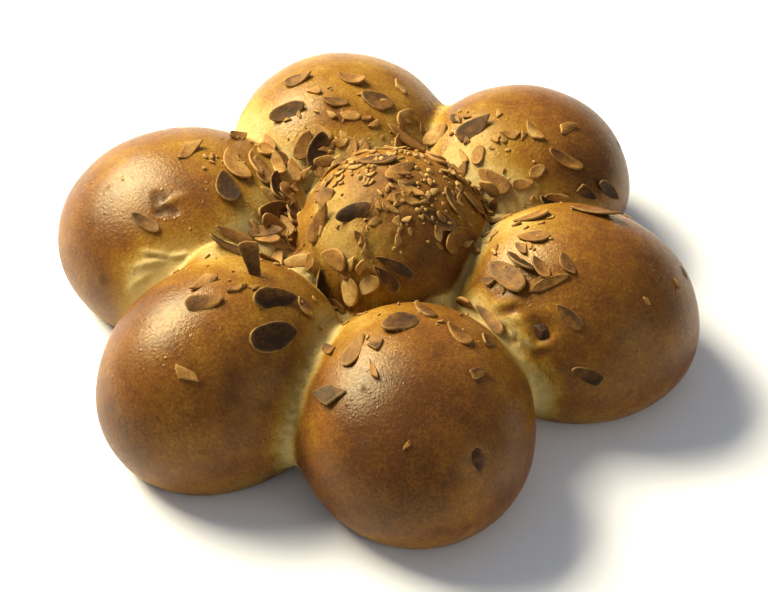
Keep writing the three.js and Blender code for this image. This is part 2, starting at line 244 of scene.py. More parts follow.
# Raisins that show, by ball: bearing, reach, length, width, turn, how far they stand out, pit round them.
RAISIN_ROWS = 15
RAISIN_AROUND = 28
RAISIN_HALF_HEIGHT = 1.6
RAISIN_SINK = 1.0
RAISINS = {
    "front": [(-60, 43, 9.5, 5.5, 110, 0.2, 0.4)],
    "right": [(-115, 39, 9, 6.5, 130, -0.2, 1.6)],
    "middle": [(-168, 29, 6, 5, 40, -0.6, 1.6)],
}

# Soft dark marks, of raisins just under the crust and in the slits of the left ball's dimple: bearing,
# reach, radius, strength.
MARKS = {
    "frontLeft": [(-79, 38, 4.0, 0.35), (-62, 40, 2.8, 0.35), (-95, 47, 1.6, 0.4), (150, 33, 1.4, 0.4)],
    "left": [
        (-126, 51, 2.8, 0.35), (-160, 30, 1.4, 0.3), (100, 35, 2.4, 0.6), (-102, 28.3, 1.5, 0.85),
        (-96, 26.1, 1.1, 0.7), (-89, 27.5, 1.3, 0.85), (-109, 22.7, 1.2, 0.5), (-103, 21.4, 1.0, 0.4),
    ],
    "front": [(-118, 38, 1.8, 0.6), (-70, 52, 2.2, 0.6), (-140, 24, 1.4, 0.5)],
    "right": [(-69, 49, 2.0, 0.5), (-50, 40, 1.6, 0.5), (-1, 43, 2.6, 0.6)],
    "backRight": [(60, 40, 3.0, 0.7), (0, 42, 1.8, 0.5)],
    "back": [(100, 38, 3.0, 0.7), (60, 44, 2.0, 0.5)],
}

# Folds pulled up as the balls rose apart, and slits torn open, by ball: bearing, reach, length, width,
# turn, height.
FOLDS = {
    "right": [
        (-142, 36.5, 12, 2.2, 164, 0.7), (-139, 38.5, 10, 1.3, 166, -0.9),
        (-134, 39.4, 8, 1.3, 158, 1.2), (-132, 40.1, 7, 0.9, 162, -0.5), (-130, 40.8, 5, 0.8, 165, 0.6),
        (-128, 41.5, 4.5, 0.9, 172, 0.9), (-126, 42.4, 4.5, 0.8, 175, -0.6),
        (-122, 42.1, 5, 1.0, 175, 0.9), (-115, 42, 7, 1.0, 168, 0.8), (-114, 43.3, 6, 1.4, 165, -0.9),
        (-108, 46.4, 12, 0.8, 150, -0.7), (-112, 46.5, 8, 0.9, 150, 0.5),
    ],
    "left": [
        (-100, 42, 11, 1.1, 167, 0.8), (-102, 44.6, 12, 1.4, 179, 1.0), (-98, 43.2, 8, 1.1, 173, -0.7),
        (-88, 43, 5, 1.3, 11, 0.9), (-84, 43, 4, 1.1, 32, 0.7), (-107, 49, 12, 1.4, 6, 0.6),
        (-90, 22.7, 12, 1.6, 26, 0.7), (-109, 22.7, 6, 1.1, 94, -0.9),
        (-103, 21.4, 4.5, 1.0, 111, -0.7), (-98, 22, 3, 1.0, 49, -0.7), (-102, 28.3, 4, 1.1, 171, -1.0),
        (-96, 26.1, 2.4, 1.1, 0, -0.9), (-89, 27.5, 3.5, 1.1, 150, -1.0),
        (-96, 26.5, 9, 3.2, 171, -0.5),
    ],
}

# Browner or paler spots, from the oven and as painted shade, shadow and light: bearing, reach, radius,
# change.
TONES_AND_PAINTED_SHADE = {
    "middle": [
        (-155, 28, 13, -0.3), (-135, 34, 11, -0.3), (-110, 33, 10, -0.25), (-75, 34, 14, 0.12),
        (-45, 36, 16, 0.1), (-100, 8, 14, 0.15),
    ],
    "front": [
        (-104, 23, 24, 0.15), (-130, 33, 16, 0.15), (-98, 43, 20, 0.1), (130, 30, 16, -0.35),
        (-148, 42, 10, -0.15), (-125, 24, 13, 0.15),
    ],
    "right": [(-148, 36.5, 6, 0.22), (-117, 44, 5, 0.25), (-109, 49, 7, -0.3), (155, 25, 18, -0.45)],
    "backRight": [
        (-17, 38, 24, 0.2), (19, 7, 16, 0.1), (-144, 32, 12, -0.15), (-150, 20, 16, -0.1),
        (158, 38, 8, 0.3), (-102, 38, 10, -0.5), (-65, 40, 13, 0.25),
    ],
    "back": [
        (94, 9, 22, -0.15), (-135, 33, 10, 0.35), (-100, 22, 11, 0.25), (10, 22, 14, 0.12),
        (175, 40, 12, -0.3),
    ],
    "left": [
        (-130, 38, 20, 0.2), (-145, 50, 16, 0.1), (-100, 20, 18, 0.15), (-60, 25, 16, 0.12),
        (80, 16, 16, -0.15), (170, 30, 16, -0.15), (-24, 38, 9, -0.35), (-45, 42, 9, -0.35),
        (5, 40, 10, -0.35), (-98, 48, 10, -0.6),
    ],
    "frontLeft": [(93, 27, 11, -0.4), (55, 26, 10, -0.2), (-45, 37, 15, 0.15)],
}

BEARING, REACH, WIDTH, DEPTH, HEIGHT, BELLY, BROWN = range(7)
names = list(BALLS)
MIDDLE = names.index("middle")
sizes = np.array([BALLS[name] for name in names], float)
angles = np.radians(sizes[:, BEARING])
middles = HUB + sizes[:, REACH, None] * np.c_[np.cos(angles), np.sin(angles)]
creases = np.tile(np.array(PLAIN_CREASE, float), (len(names), len(names), 1))
for ball, other_ball, *values in CREASES:
    creases[names.index(ball), names.index(other_ball)] = values


def smooth(low, high, value):
    """0 below low, 1 above high, with an eased step between."""
    share = np.clip((value - low) / (high - low), 0, 1)
    return share * share * (3 - 2 * share)


LATTICE = 32
lattice = np.random.default_rng(SEED).random((LATTICE, LATTICE, LATTICE))


def noise(points, size, shift=0.0):
    """Smooth noise from -1 to 1 with lumps about as large as size."""
    place = points / size + shift
    cell = np.floor(place).astype(int)
    share = place - cell
    share = share * share * (3 - 2 * share)
    total = np.zeros(len(points))
    for corner in np.ndindex(2, 2, 2):
        weight = np.prod(np.where(corner, share, 1 - share), axis=1)
        i, j, k = ((cell + corner) % LATTICE).T
        total += weight * lattice[i, j, k]
    return total * 2 - 1


def outside_balls(points):
    """Roughly how far each point is outside each ball, negative inside, one row a ball."""
    rows = []
    for size, angle, middle in zip(sizes, angles, middles):
        dx = points[:, 0] - middle[0]
        dy = points[:, 1] - middle[1]
        along = dx * math.cos(angle) + dy * math.sin(angle)
        across = dy * math.cos(angle) - dx * math.sin(angle)
        above = points[:, 2] - size[BELLY]
        rise = np.where(above > 0, size[HEIGHT] - size[BELLY], TUCK * size[BELLY])
        level = (along / (size[DEPTH] / 2)) ** 2 + (across / (size[WIDTH] / 2)) ** 2
        share = np.sqrt(level + (above / rise) ** 2)
        rows.append((share - 1) * BALL_RADIUS)
    return np.array(rows)


def outside_loaf(points):
    """The same for the whole loaf, whose balls run into one another over rounded creases."""
    out = np.hypot(points[:, 0] - HUB[0], points[:, 1] - HUB[1])
    rounding = CREASE_ROUND + (WEB_ROUND - CREASE_ROUND) * smooth(WEB_START, WEB_END, out)
    fill = (np.hypot(out / FILL_REACH, points[:, 2] / FILL_HEIGHT) - 1) * BALL_RADIUS
    total = np.exp(-fill / rounding) + np.exp(-outside_balls(points) / rounding).sum(0)
    for bearing, reach, radius, height in SWELLS:
        turn = math.radians(bearing)
        dx = points[:, 0] - HUB[0] - reach * math.cos(turn)
        dy = points[:, 1] - HUB[1] - reach * math.sin(turn)
        away = np.hypot(dx, dy)
        total += np.exp(-(np.hypot(away / radius, points[:, 2] / height) - 1) * BALL_RADIUS / rounding)
    return -rounding * np.log(total)


def leave_loaf(start, direction):
    """Where rays that start inside the loaf come out of it."""
    inside = np.zeros(len(start))
    outside = np.full(len(start), RAY_LENGTH)
    going = np.arange(len(start))
    length = 0.0
    while len(going) and length < RAY_LENGTH:
        length += RAY_STRIDE
        left = outside_loaf(start[going] + length * direction[going]) > 0
        outside[going[left]] = length
        inside[going[~left]] = length
        going = going[~left]
    for _ in range(RAY_HALVINGS):
        half = (inside + outside) / 2
        left = outside_loaf(start + half[:, None] * direction) > 0
        outside = np.where(left, half, outside)
        inside = np.where(left, inside, half)
    return start + inside[:, None] * direction


def normals_at(points):
    """Outward directions of the loaf's skin."""
    step = 0.4
    slopes = [outside_loaf(points + step * axis) - outside_loaf(points - step * axis) for axis in np.eye(3)]
    slopes = np.array(slopes).T
    return slopes / np.linalg.norm(slopes, axis=1, keepdims=True)


def tops_at(plan):
    """The top of the loaf above points of its plan."""
    start = np.c_[plan, np.full(len(plan), float(SPINE_LEVEL))]
    return leave_loaf(start, np.tile([0.0, 0.0, 1.0], (len(plan), 1)))


def seat(name, bearing, reach):
    """Points of the skin at that bearing and reach from a ball's middle, with their normals."""
    turn = np.radians(np.atleast_1d(bearing))
    plan = middles[names.index(name)] + np.atleast_1d(reach)[:, None] * np.c_[np.cos(turn), np.sin(turn)]
    points = tops_at(plan)
    return points, normals_at(points)


def spots(table):
    """A table's rows by ball, each as its point on the skin, the normal there and its other columns."""
    for name, rows in table.items():
        for bearing, reach, *rest in rows:
            points, normals = seat(name, bearing, reach)
            yield points[0], normals[0], rest


pits = [(point, 0.55 * rest[0], rest[-1]) for point, _, rest in spots(RAISINS)]
marks = [(point, *rest) for point, _, rest in spots(MARKS)]
tones_and_painted_shade = [(point, *rest) for point, _, rest in spots(TONES_AND_PAINTED_SHADE)]
folds = [(point, normal, *rest) for point, normal, rest in spots(FOLDS)]


def heading_on(normal, turn):
    """The direction along the skin that has this bearing in plan."""
    heading = np.array([math.cos(math.radians(turn)), math.sin(math.radians(turn)), 0.0])
    heading[2] = -heading.dot(normal) / normal[2]
    return heading / np.linalg.norm(heading)


def fold_lift(points):
    """How far the drawn folds lift the skin."""
    total = np.zeros(len(points))
    for spot, normal, length, width, turn, height in folds:
        heading = heading_on(normal, turn)
        away = points - spot
        along = away @ heading / (length / 2)
        across = (away @ np.cross(normal, heading) + 0.5 * noise(points, 3, 4.4)) / width
        total += height * np.exp(-(along**4) - across**2 - (away @ normal / 8) ** 2)
    return total


def crease_gap(points):
    """How much nearer each point is to its own ball than to the next one, and the two balls' numbers."""
    balls = outside_balls(points)
    order = np.argsort(balls, axis=0)[:2]
    columns = np.arange(len(points))
    return balls[order[1], columns] - balls[order[0], columns], order[0], order[1]


def relief(points):
    """How far the baked skin stands out from the smooth loaf: lumps, wrinkles, folds and pits."""
    gap, own, other = crease_gap(points)
    lift = 0.45 * noise(points, 34) + 0.2 * noise(points, 13, 7.3)

    # Wrinkles across the creases, in patches.
    out = np.hypot(points[:, 0] - HUB[0], points[:, 1] - HUB[1])
    round_ring = np.arctan2(points[:, 2] - RING_LEVEL, out - RING_REACH) * WRINKLE_RADIUS_AT_RING
    round_hub = np.arctan2(points[:, 1] - HUB[1], points[:, 0] - HUB[0]) * WRINKLE_RADIUS_AT_HUB
    along = np.where((own == MIDDLE) | (other == MIDDLE), round_hub, round_ring)
    height, reach, width = creases[own, other, 1:].T
    phase = (along + 2.2 * noise(points, 9, 3.1)) * 2 * math.pi / width
    wrinkle = np.sin(phase) + 0.4 * np.sin(1.7 * phase + 1.0)
    patch = smooth(-0.3, 0.4, noise(points, 22, 11.0))
    lift += height * wrinkle * np.exp(-((gap / reach) ** 2)) * (0.3 + 0.7 * patch)

    # Crumbly skin on the middle ball, away from its creases.
    crumbly = np.where(own == MIDDLE, smooth(4, 14, gap), 0)
    crumbly *= smooth(-0.5, 0.3, noise(points, 20, 6.0))
    lift += crumbly * (0.5 * noise(points, 6, 1.7) + 0.3 * noise(points, 3, 8.2))

    # A pit with a low ridge round each raisin that shows, and a low rise over each mark.
    for centre, radius, depth in pits:
        away = np.linalg.norm(points - centre, axis=1) * (1 + 0.35 * noise(points, 4, 2.2))
        ridge = np.exp(-(((away - 1.3 * radius) / (0.5 * radius)) ** 2))
        lift += depth * (0.3 * ridge - np.exp(-((away / (0.85 * radius)) ** 2)))
    for centre, radius, strength in marks:
        away = np.linalg.norm(points - centre, axis=1)
        lift += 0.25 * strength * np.exp(-((away / radius) ** 2))
    lift += fold_lift(points)

    # All of it fades out where the loaf meets the table.
    return lift * smooth(0.5, 8, points[:, 2])


def link(name, vertices, faces, attributes):
    """A smooth mesh object from points in millimetres, with named numbers on its points."""
    mesh = bpy.data.meshes.new(name)
    mesh.from_pydata((np.asarray(vertices) * MM).tolist(), [], faces)
    for key, values in attributes.items():
        layer = mesh.attributes.new(key, "FLOAT", "POINT")
        layer.data.foreach_set("value", np.asarray(values, np.float32))
    mesh.polygons.foreach_set("use_smooth", np.ones(len(mesh.polygons), bool))
    mesh.update()
    piece = bpy.data.objects.new(name, mesh)
    bpy.context.scene.collection.objects.link(piece)
    return piece


def column_bearings():
    """Bearings of the skin's columns, crowded at the notches between the ring balls."""
    ring = sizes[1:, BEARING]
    following = np.append(ring[1:], ring[0] + 360)
    notches = (ring + following) / 2
    ends = np.append(notches[1:], notches[0] + 360)
    even = np.arange(COLUMNS_PER_BALL) / COLUMNS_PER_BALL
    crowded = (1 - np.cos(np.pi * even)) / 2
    share = even + (crowded - even) * NOTCH_CROWDING
    return np.radians((notches[:, None] + (ends - notches)[:, None] * share).ravel())


def skin_points(shares, bearings, spine, foot):
    """Points of the skin, column by column.

    A column's shares run from 0 at the crown over the top and down the side to 1 at the table.
    """
    rows = shares.shape[1]
    share = shares.ravel()
    bearings = np.repeat(bearings, rows)
    spine = np.repeat(spine, rows)
    foot = np.repeat(foot, rows)
    outward = np.c_[np.cos(bearings), np.sin(bearings), np.zeros(len(bearings))]
    hub = np.array([*HUB, SPINE_LEVEL])
    reach = spine * np.clip(share * 2, 0, 1)
    lowest = np.arctan2(-SPINE_LEVEL, foot - spine)
    pitch = math.pi / 2 + (lowest - math.pi / 2) * np.clip(share * 2 - 1, 0, 1)
    direction = outward * np.cos(pitch)[:, None]
    direction[:, 2] = np.sin(pitch)
    return leave_loaf(hub + reach[:, None] * outward, direction)


def row_shares(bearings, spine, foot):
    """Shares for the skin's rows, even along each section of the loaf and closer in a crease."""
    count = len(bearings)
    coarse = np.linspace(0, 1, COARSE_ROWS)
    points = skin_points(np.tile(coarse, (count, 1)), bearings, spine, foot)
    gap, _, _ = crease_gap(points)
    points = points.reshape(count, COARSE_ROWS, 3)
    weight = (1 + CREASE_CROWDING * np.exp(-((gap / CREASE_WIDTH) ** 2))).reshape(count, COARSE_ROWS)
    steps = np.linalg.norm(np.diff(points, axis=1), axis=2) * (weight[:, 1:] + weight[:, :-1]) / 2
    lengths = np.concatenate([np.zeros((count, 1)), np.cumsum(steps, axis=1)], axis=1)
    lengths /= lengths[:, -1:]
    wanted = np.linspace(0, 1, ROWS + 1)[1:]
    return np.array([np.interp(wanted, row, coarse) for row in lengths])


def skin_faces(count, rows):
    """Faces between the skin's columns, and the fans round the last two points, crown and underside."""
    column = np.arange(count)
    after = np.roll(column, -1)
    faces = []
    for row in range(rows - 1):
        quad = [column * rows + row, column * rows + row + 1, after * rows + row + 1, after * rows + row]
        faces += np.stack(quad, axis=1).tolist()
    crown = np.full(count, count * rows)
    underside = crown + 1
    faces += np.stack([crown, column * rows, after * rows], axis=1).tolist()
    faces += np.stack([underside, after * rows + rows - 1, column * rows + rows - 1], axis=1).tolist()
    return faces


def crust_values(points):
    """How brown (with painted shade and light mixed in), how matt and how darkly marked the crust is at
    each point.
    """
    gap, own, other = crease_gap(points)
    spread = creases[own, other, 0]
    drift = gap + 0.16 * spread * noise(points, 14, 2.0) + 1.2 * noise(points, 4, 5.0)
    pale = 1 - smooth(0.1 * spread, spread, drift)
    out = np.hypot(points[:, 0] - HUB[0], points[:, 1] - HUB[1])
    outward = (out - sizes[own, REACH]) / (sizes[own, DEPTH] / 2)
    brown = BALL_BROWN + sizes[own, BROWN] + OUTER_BROWN * smooth(-0.2, 0.6, outward)
    brown += 0.12 * noise(points, 30, 9.0)
    brown += 0.1 * noise(points, 12, 4.0) + 0.06 * noise(points, 5, 6.0)
    brown -= TABLE_PALENESS * (1 - smooth(2, 22, points[:, 2]))
    folded = fold_lift(points)
    # Raised folds are drawn paler and sunk slits browner: painted light on the ridges and painted shade in
    # the slits.
    brown = brown * (1 - 0.94 * pale) - 0.3 * folded
    # Spots of oven browning, of painted shade and shadow, and of painted light on the crust.
    for centre, radius, change in tones_and_painted_shade:
        away = np.linalg.norm(points - centre, axis=1) * (1 + 0.2 * noise(points, 9, 1.4))
        brown += change * np.exp(-((away / radius) ** 2))
    brown = np.clip(brown, 0, 1)

    mark = np.zeros(len(points))
    for centre, radius, strength in marks:
        away = np.linalg.norm(points - centre, axis=1) * (1 + 0.3 * noise(points, 2.5, 3.3))
        mark = np.maximum(mark, strength * np.exp(-((away / radius) ** 4)))

    # The egg wash doesn't shine on pale dough, by the table, on the middle ball, on folds and on marks.
    matt = np.maximum(1 - smooth(0.15, 0.5, brown), 1 - smooth(0.2, 1.5, points[:, 2]))
    matt = np.maximum(matt, np.where(own == MIDDLE, 0.9, 0))
    matt = np.maximum(matt, smooth(0.1, 0.45, np.abs(folded)))
    matt = np.maximum(matt, smooth(0.05, 0.3, mark))
    return {"brown": brown, "matt": matt, "mark": mark}


def make_loaf():
    """The loaf's skin with its relief and its browning, closed by a flat underside."""
    bearings = column_bearings()
    count = len(bearings)
    outward = np.c_[np.cos(bearings), np.sin(bearings), np.zeros(count)]
    level = np.tile([*HUB, SPINE_LEVEL], (count, 1))
    ground = np.tile([*HUB, 0.0], (count, 1))
    rim = np.linalg.norm(leave_loaf(level, outward) - level, axis=1)
    foot = np.linalg.norm(leave_loaf(ground, outward) - ground, axis=1)
    spine = rim * SPINE_SHARE
    points = skin_points(row_shares(bearings, spine, foot), bearings, spine, foot)
    points = points + normals_at(points) * relief(points)[:, None]
    points = points.reshape(count, ROWS, 3)
    points[:, -1, 2] = 0
    points[:, :, 2] = np.maximum(points[:, :, 2], 0)

    under = [ground + (points[:, -1] - ground) * share for share in UNDERSIDE_RINGS]
    points = np.concatenate([points, np.stack(under, axis=1)], axis=1)
    crown = tops_at(HUB[None, :])
    crown = crown + normals_at(crown) * relief(crown)[:, None]
    vertices = np.concatenate([points.reshape(-1, 3), crown, [[*HUB, 0.0]]])
    return link("loaf", vertices, skin_faces(count, points.shape[1]), crust_values(vertices))


# Rings of points from the top of a slice over its rim to its underside: share of the outline, level from 1
# at the top to -1 underneath, how much it counts as rim.
FINE_RINGS = (
    (0.3, 1, 0), (0.76, 1, 0), (0.92, 1, 0.2), (0.98, 0.8, 1), (1, 0.2, 1), (1, -0.6, 1),
    (0.93, -1, 0.3), (0.5, -1, 0),
)
CHIP_RINGS = ((0.8, 1, 0.3), (1, 0.6, 1), (1, -0.6, 1), (0.8, -1, 0.3))
FLAKE_AROUND = 28
CHIP_AROUND = 14


def slice_outline(length, width, cut, around, rng):
    """The outline of an almond slice, narrower towards +x, with straight breaks where a share is cut."""
    turn = (np.arange(around) + 0.5) / around * 2 * math.pi
    x = np.cos(turn)
    y = np.sign(np.sin(turn)) * (1 + x) ** rng.uniform(0.4, 0.55) * (1 - x) ** rng.uniform(0.5, 0.9)
    y *= (1 + 0.05 * np.sin(3 * turn + rng.uniform(0, 6))) / np.abs(y).max()
    y += rng.uniform(-0.2, 0.2) * (1 - x**2)
    breaks = int(cut > 0) + int(cut >= 0.3)
    for side in range(breaks):
        lean = math.pi * (1 - side) + rng.uniform(-0.7, 0.7)
        over = np.maximum(0, x * math.cos(lean) + y * math.sin(lean) - (1 - 1.6 * cut))
        x = x - over * math.cos(lean)
        y = y - over * math.sin(lean)
    x -= (x.max() + x.min()) / 2
    y -= (y.max() + y.min()) / 2
    x *= length / 2 / x.max() * (1 + 0.015 * rng.uniform(-1, 1, around))
    y *= width / 2 / y.max() * (1 + 0.02 * rng.uniform(-1, 1, around))
    return x, y


def flake_shape(length, width, thickness, cut, around, rings, rng):
    """A curved almond slice about the plane z = 0: its points, faces and how much each point is rim."""
    x, y = slice_outline(length, width, cut, around, rng)
    points = []
    rim = []
    for share, level, edge in rings:
        points.append(np.c_[x * share, y * share, np.full(around, level * thickness / 2)])
        rim.append(np.full(around, edge))
    points = np.concatenate(points)
    rim = np.concatenate(rim)
    bend = rng.uniform(0.1, 1.3) * (points[:, 0] / (length / 2)) ** 2
    bend += rng.uniform(-0.6, 0.6) * (points[:, 1] / (width / 2)) ** 2
    bend += rng.uniform(-0.7, 0.7) * points[:, 0] * points[:, 1] / (length * width / 4)
    points[:, 2] += bend * min(1.0, length / 12)
    faces = []
    for upper in range(0, (len(rings) - 1) * around, around):
        lower = upper + around
        for i in range(around):
            j = (i + 1) % around
            faces.append((upper + j, upper + i, lower + i, lower + j))
    faces.append(tuple(range(around)))
    faces.append(tuple(range(len(points) - 1, len(points) - around - 1, -1)))
    return points, faces, rim


def globe(rows, around, gap=0.0):
    """A ball of radius 1: rings of points from the top down, a gap in radians at each pole, and faces."""
    up = np.repeat(np.linspace(gap, math.pi - gap, rows), around)
    turn = np.tile(np.arange(around) / around * 2 * math.pi, rows)
    points = np.c_[np.sin(up) * np.cos(turn), np.sin(up) * np.sin(turn), np.cos(up)]
    faces = []
    for upper in range(0, (rows - 1) * around, around):
        lower = upper + around
        for i in range(around):
            j = (i + 1) % around
            faces.append((upper + i, lower + i, lower + j, upper + j))
    return points, faces


def stand_on(points, spot, normal, turn):
    """Points about the plane z = 0, moved to a spot of the skin with their x axis along a bearing."""
    heading = heading_on(normal, turn)
    across = np.cross(normal, heading)
    return spot + points[:, :1] * heading + points[:, 1:2] * across + points[:, 2:] * normal


def set_down(points, name, bearing, reach, turn, tip, pitch, sink):
    """Moves a shape to its place on a ball, tipped about its long axis and pitched along it.

    A tenth of its points end up deeper in the skin than sink.
    """
    spot, normal = seat(name, bearing, reach)
    tipped = Matrix.Rotation(math.radians(tip), 3, "X")
    lean = np.array(Matrix.Rotation(math.radians(pitch), 3, "Y") @ tipped)
    placed = stand_on(points @ lean.T, spot[0], normal[0], turn)
    clear = outside_loaf(placed) - relief(placed)
    return placed + normal[0] * (-sink - np.percentile(clear, 10))


class Heap:
    """Many small shapes gathered into one mesh."""

    def __init__(self):
        self.points = []
        self.faces = []
        self.values = {}
        self.count = 0

    def add(self, points, faces, **values):
        """Adds a shape, with a number for all its points or one for each under every name."""
        self.points.append(points)
        self.faces += [tuple(i + self.count for i in face) for face in faces]
        self.count += len(points)
        for key, value in values.items():
            self.values.setdefault(key, []).append(np.broadcast_to(value, len(points)))

    def link(self, name):
        """Makes the mesh object."""
        joined = {key: np.concatenate(values) for key, values in self.values.items()}
        return link(name, np.concatenate(self.points), self.faces, joined)


def add_flake(heap, rng, name, row, thickness, sink, around, rings):
    """One flake or broken bit, with its own curl, a toast that drifts along it and its own grain."""
    bearing, reach, length, width, turn, tip, toast, cut = row
    shape, faces, rim = flake_shape(length, width, thickness, cut, around, rings, rng)
    pitch = 0 if sink == SUNKEN_SINK else rng.uniform(-FLAKE_PITCH, FLAKE_PITCH)
    placed = set_down(shape, name, bearing, reach, turn, tip, pitch, sink)
    along = shape[:, 0] / length
    across = shape[:, 1] / width
    drift = toast + rng.uniform(-0.35, 0.35) * along + rng.uniform(-0.25, 0.25) * across
    lean = rng.uniform(0, 2 * math.pi)
    beyond = along * math.cos(lean) + across * math.sin(lean) - rng.uniform(-0.1, 0.3)
    drift += rng.choice((0.0, 0.25, -0.12)) * smooth(-0.08, 0.12, beyond)
    grain = across + rng.uniform(0, 50)
    heap.add(placed, faces, toast=np.clip(drift, 0, 1), rim=rim, grain=grain, length=along)


def make_flakes():
    """The almond flakes of the tables."""
    rng = np.random.default_rng(SEED + 1)
    heap = Heap()
    for name, flakes in FLAKES.items():
        for row in flakes:
            thickness = FLAKE_THICKNESS * rng.uniform(0.85, 1.25)
            add_flake(heap, rng, name, row, thickness, FLAKE_SINK, FLAKE_AROUND, FINE_RINGS)
    for name, flakes in SUNKEN_FLAKES.items():
        for row in flakes:
            add_flake(heap, rng, name, row, FLAKE_THICKNESS, SUNKEN_SINK, FLAKE_AROUND, FINE_RINGS)
    return heap.link("almond_flakes")


def strewn_place(rng, bearing, spread, near, far):
    """A bearing and a reach by chance, as dense far out as near."""
    where = bearing + spread * rng.uniform(-1, 1)
    return where, math.sqrt(rng.uniform(near**2, far**2))


def make_chips():
    """Broken bits and crumbs of almond, strewn by the seeded rule."""
    rng = np.random.default_rng(SEED + 2)
    heap = Heap()
    for name, count, bearing, spread, near, far, short, long, steep in STREWN:
        for _ in range(count):
            where, reach = strewn_place(rng, bearing, spread, near, far)
            length = rng.uniform(short, long)
            width = max(0.46 * length, 1.2) * rng.uniform(0.75, 1.35)
            toast = rng.uniform(0.02, 0.4) if length < 5 else rng.uniform(0.08, 0.6)
            cut = rng.choice((0.2, 0.35, 0.0), p=(0.4, 0.4, 0.2))
            turn = rng.uniform(0, 360)
            tip = rng.uniform(-steep, steep)
            row = (where, reach, length, width, turn, tip, toast, cut)
            add_flake(heap, rng, name, row, rng.uniform(0.6, 1.1), CHIP_SINK, CHIP_AROUND, CHIP_RINGS)
    for name, count, bearing, spread, near, far, small, large, pale, dark in NUGGETS:
        for _ in range(count):
            where, reach = strewn_place(rng, bearing, spread, near, far)
            add_nugget(heap, rng, name, where, reach, rng.uniform(small, large), rng.uniform(pale, dark))
    return heap.link("almond_chips")


def add_nugget(heap, rng, name, bearing, reach, size, toast):
    """A rough crumb, about a third of it sunk in the crust."""
    ball, sides = globe(NUGGET_ROWS, NUGGET_AROUND, 0.12)
    lumps = 1 + 0.3 * noise(ball, 0.8, rng.uniform(0, 20))
    shape = ball * lumps[:, None] * size / 2 * (1, rng.uniform(0.6, 0.95), rng.uniform(0.55, 0.85))
    count = len(ball)
    caps = [tuple(range(NUGGET_AROUND)), tuple(range(count - 1, count - NUGGET_AROUND - 1, -1))]
    turn = rng.uniform(0, 360)
    tip = rng.uniform(-30, 30)
    placed = set_down(shape, name, bearing, reach, turn, tip, 0, 0.3 * size)
    grain = rng.uniform(0, 50)
    heap.add(placed, caps + sides, toast=toast, rim=0.0, grain=grain, length=shape[:, 0] / size)


def make_raisins():
    """Raisins that show at the surface, wrinkled and half sunk."""
    heap = Heap()
    ball, faces = globe(RAISIN_ROWS, RAISIN_AROUND)
    for name, raisins in RAISINS.items():
        for bearing, reach, length, width, turn, stand, pit in raisins:
            fold = 1 + 0.14 * noise(ball, 0.45, bearing) + 0.08 * noise(ball, 0.22, bearing)
            shape = ball * fold[:, None] * (length / 2, width / 2, RAISIN_HALF_HEIGHT)
            spot, normal = seat(name, bearing, reach)
            sunk = spot[0] + normal[0] * (stand - pit * 0.5 - RAISIN_SINK)
            heap.add(stand_on(shape, sunk, normal[0], turn), faces, wrinkle=fold)
    return heap.link("raisins")


class Shader:
    """A node material, with short calls for the few nodes used here."""

    def __init__(self, name):
        self.material = bpy.data.materials.new(name)
        self.material.use_nodes = True
        self.nodes = self.material.node_tree.nodes
        self.links = self.material.node_tree.links
        self.body = self.nodes["Principled BSDF"]
        self.place = self.node("ShaderNodeTexCoord").outputs["Object"]

    def feed(self, socket, value):
        """Links another node's output to a socket, or sets a plain value there."""
        if isinstance(value, bpy.types.NodeSocket):
            self.links.new(value, socket)
        else:
            socket.default_value = value

    def node(self, kind, inputs=(), **settings):
        """A new node with its settings and inputs."""
        made = self.nodes.new(kind)
        for key, value in settings.items():
            setattr(made, key, value)
        for key, value in dict(inputs).items():
            self.feed(made.inputs[key], value)
        return made

    def noise(self, scale, detail=2.0, rough=0.5, place=None):
        """Cloudy noise about 0.5."""
        inputs = {"Vector": place or self.place, "Scale": scale, "Detail": detail, "Roughness": rough}
        return self.node("ShaderNodeTexNoise", inputs).outputs["Fac"]

    def attribute(self, name):
        """The numbers that a mesh carries under a name."""
        return self.node("ShaderNodeAttribute", attribute_name=name).outputs["Fac"]

    def math(self, operation, a, b, clamp=False):
        """A sum or product of two values."""
        return self.node("ShaderNodeMath", {0: a, 1: b}, operation=operation, use_clamp=clamp).outputs[0]

    def span(self, value, low, high, to_low=0.0, to_high=1.0):
        """A value from one span carried over to another."""
        inputs = {"Value": value, "From Min": low, "From Max": high, "To Min": to_low, "To Max": to_high}
        return self.node("ShaderNodeMapRange", inputs).outputs["Result"]

    def ramp(self, value, stops):
        """A colour by a value from 0 to 1."""
        made = self.node("ShaderNodeValToRGB", {"Fac": value})
        elements = made.color_ramp.elements
        while len(elements) < len(stops):
            elements.new(0.5)
        for element, (at, colour) in zip(elements, stops):
            element.position = at
            element.color = (*colour, 1)
        return made.outputs["Color"]

    def mix(self, share, under, over):
        """The colour under with a share of the colour over it."""
        made = self.node("ShaderNodeMix", data_type="RGBA")
        for key, value in (("Factor", share), ("A", under), ("B", (*over, 1))):
            socket = next(item for item in made.inputs if item.name == key and item.enabled)
            self.feed(socket, value)
        return next(item for item in made.outputs if item.enabled)

    def bump(self, height, distance, strength, under=None):
        """A normal tilted by a relief whose full height is a distance in metres, over another one."""
        inputs = {"Height": height, "Distance": distance, "Strength": strength}
        if under is not None:
            inputs["Normal"] = under
        return self.node("ShaderNodeBump", inputs).outputs["Normal"]

    def plug(self, **inputs):
        """Sets inputs of the surface itself."""
        for key, value in inputs.items():
            self.feed(self.body.inputs[key.replace("_", " ")], value)


